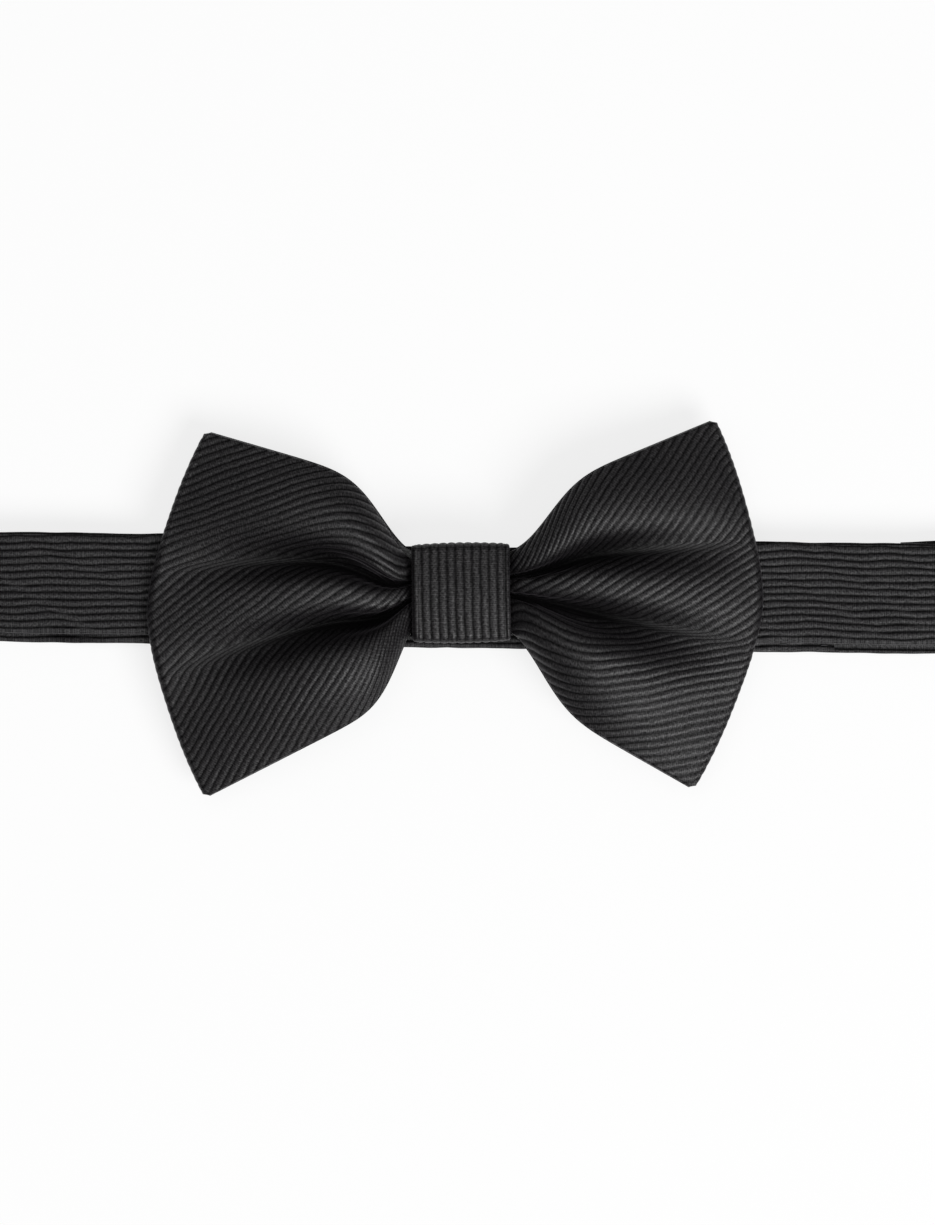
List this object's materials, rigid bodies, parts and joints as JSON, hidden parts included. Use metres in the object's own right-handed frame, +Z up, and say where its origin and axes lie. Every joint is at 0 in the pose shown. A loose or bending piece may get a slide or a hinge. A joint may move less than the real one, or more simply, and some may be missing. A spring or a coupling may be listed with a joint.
{
  "type": "pre-tied bow tie",
  "caption": "Pre-tied bow tie in ribbed black fabric, with a pleated bow, a wrapped knot and an adjustable neck band that closes with a hook and eye.",
  "frame": {"origin": "on the resting plane, under the middle of the knot, at mid width of the band's front layer", "axes": "+X along the neck band towards the eye's side, +Y towards the upper edge of the bow, +Z up out of the bow's face"},
  "size_m": [0.208, 0.0747, 0.0178],
  "materials": {
    "ribbed_fabric": "black corded faille with a soft sheen",
    "lining_fabric": "plain black satin lining",
    "interlining": "unbleached woven interlining",
    "thread": "black polyester sewing thread",
    "black_nickel": "black lacquered steel, satin"
  },
  "bodies": {
    "neck_band": {"band_front": "ribbed_fabric", "band_front_interlining": "interlining", "right_seam_overlap": "ribbed_fabric", "left_fold": "ribbed_fabric", "right_fold": "ribbed_fabric"},
    "bow": {"bow_face_fabric": "ribbed_fabric", "bow_interlining": "interlining", "bow_lining": "lining_fabric", "waist_thread": "thread", "knot_wrap": "ribbed_fabric", "knot_interlining": "interlining", "knot_stitches": "thread"},
    "left_strap": {"hook_strap": "ribbed_fabric", "hook_strap_interlining": "interlining", "strap_return": "ribbed_fabric"},
    "hook_link": {"hook": "black_nickel"},
    "adjuster": {"adjuster_buckle": "black_nickel", "adjuster_tail_loop": "ribbed_fabric", "adjuster_tail_stitches": "thread"},
    "right_strap": {"eye_strap": "ribbed_fabric", "eye_strap_interlining": "interlining", "eye_strap_stitches": "thread"},
    "eye_link": {"eye": "black_nickel"}
  },
  "joints": [
    {"name": "bow_slide", "type": "slide", "parent": "neck_band", "child": "bow", "axis": [1, 0, 0], "range_m": [-0.012, 0.012]},
    {"name": "left_unfold", "type": "hinge", "parent": "neck_band", "child": "left_strap", "pos_m": [-0.1051, 0, 0.0033], "axis": [0, 1, 0], "range_deg": [0, 178], "deforming": ["left_fold"]},
    {"name": "right_unfold", "type": "hinge", "parent": "neck_band", "child": "right_strap", "pos_m": [0.1051, 0, 0.0033], "axis": [0, -1, 0], "range_deg": [0, 178], "deforming": ["right_fold"]},
    {"name": "adjuster_slide", "type": "slide", "parent": "left_strap", "child": "adjuster", "axis": [1, 0, 0], "range_m": [0, 0.021], "deforming": ["strap_return"]},
    {"name": "hook_swing", "type": "hinge", "parent": "left_strap", "child": "hook_link", "pos_m": [0.03, 0, 0.002], "axis": [0, 1, 0], "range_deg": [0, 40]},
    {"name": "eye_swing", "type": "hinge", "parent": "right_strap", "child": "eye_link", "pos_m": [0.0545, 0, 0.00155], "axis": [0, 1, 0], "range_deg": [0, 12]}
  ],
  "couplings": [
    {"joint": "right_unfold", "follows": "left_unfold", "ratio": 1}
  ]
}
